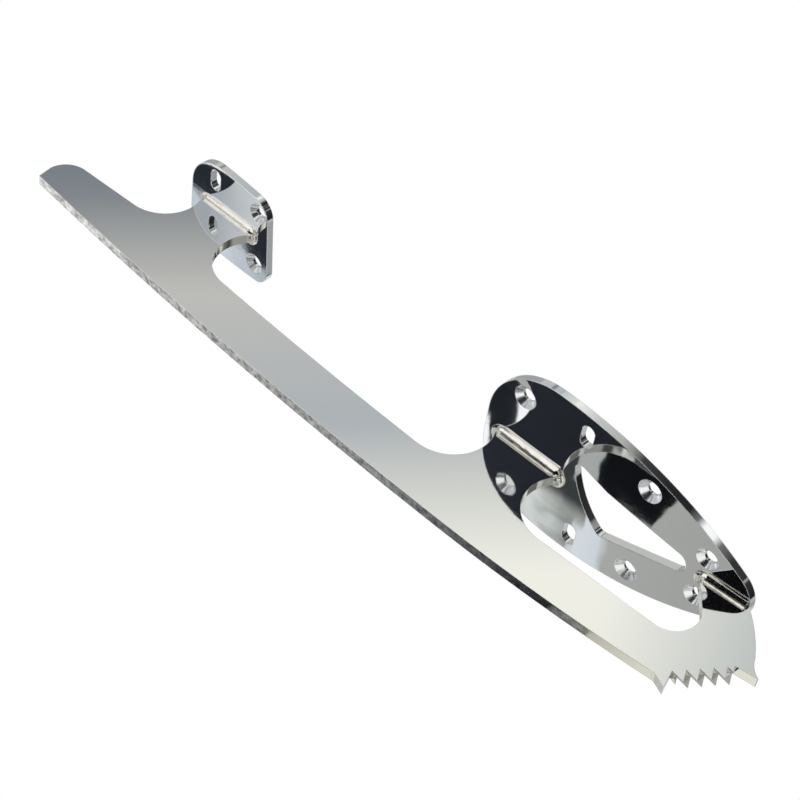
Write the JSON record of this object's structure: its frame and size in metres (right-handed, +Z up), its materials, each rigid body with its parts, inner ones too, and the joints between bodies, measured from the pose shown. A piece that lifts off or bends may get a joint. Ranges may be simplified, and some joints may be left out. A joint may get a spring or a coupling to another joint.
{
  "type": "figure skate blade",
  "caption": "Steel figure skating blade: a rockered, hollow-ground runner with cross-cut toe picks, brazed into an open sole plate and a heel plate that screw to a boot.",
  "frame": {"origin": "on the ice line at the lowest point's height, under the middle of the part's length and width", "axes": "+X along the runner to the toe picks, +Z up to the boot, -Y the outer side of the foot (the wider side of the sole plate, as on a right-foot blade)"},
  "size_m": [0.3192, 0.0624, 0.0527],
  "materials": {
    "runner_steel": "polished, with a soft satin on the sides",
    "plate_chrome": "mirror polished",
    "silver_braze": "polished, slightly wavy"
  },
  "bodies": {
    "root": {"runner": "runner_steel", "sole_plate": "plate_chrome", "heel_plate": "plate_chrome", "heel_braze_left": "silver_braze", "heel_braze_right": "silver_braze", "sole_rear_braze_left": "silver_braze", "sole_rear_braze_right": "silver_braze", "sole_front_braze_left": "silver_braze", "sole_front_braze_right": "silver_braze"}
  },
  "joints": []
}
